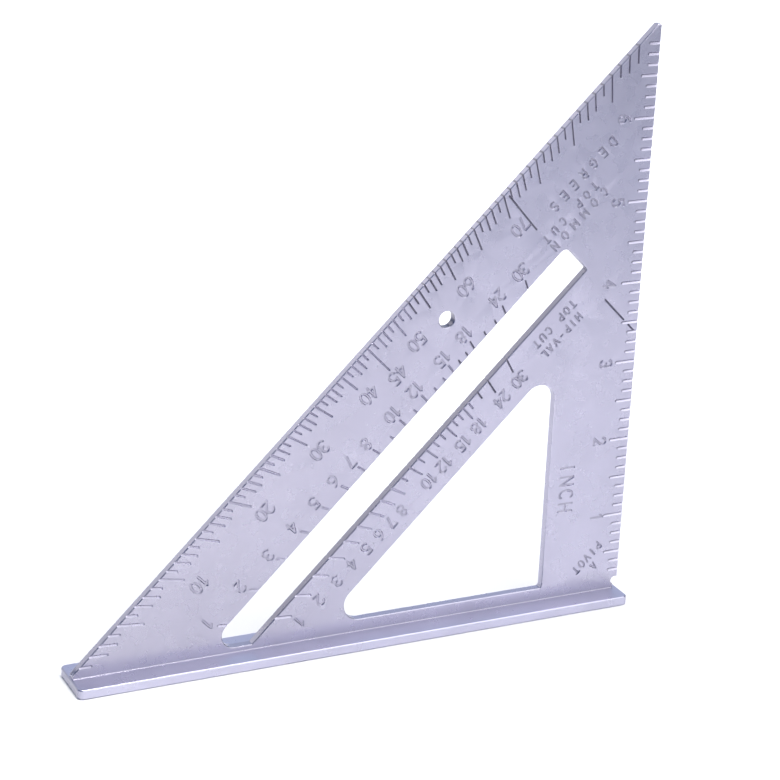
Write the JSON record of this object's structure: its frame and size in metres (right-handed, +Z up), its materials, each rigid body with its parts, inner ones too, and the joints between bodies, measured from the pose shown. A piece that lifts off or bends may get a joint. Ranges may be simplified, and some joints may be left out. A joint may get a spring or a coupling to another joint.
{
  "type": "speed square",
  "caption": "Triangular carpenter's square plate with a slanted slot, a triangular window and a hang hole, standing on a T-shaped fence rail.",
  "frame": {"origin": "centre of the bounding box at its bottom, on the underside of the fence rail", "axes": "+Z up from the fence rail toward the blunt top corner, +X toward the pivot corner and the ruled square edge, -Y the side that the front lip projects to"},
  "size_m": [0.1808, 0.0176, 0.1832],
  "materials": {
    "cast_plate": "bright satin die-cast aluminium, lightly polished",
    "cast_rail": "bright satin die-cast aluminium, lightly polished"
  },
  "bodies": {
    "root": {"blade": "cast_plate", "fence": "cast_rail"}
  },
  "joints": []
}
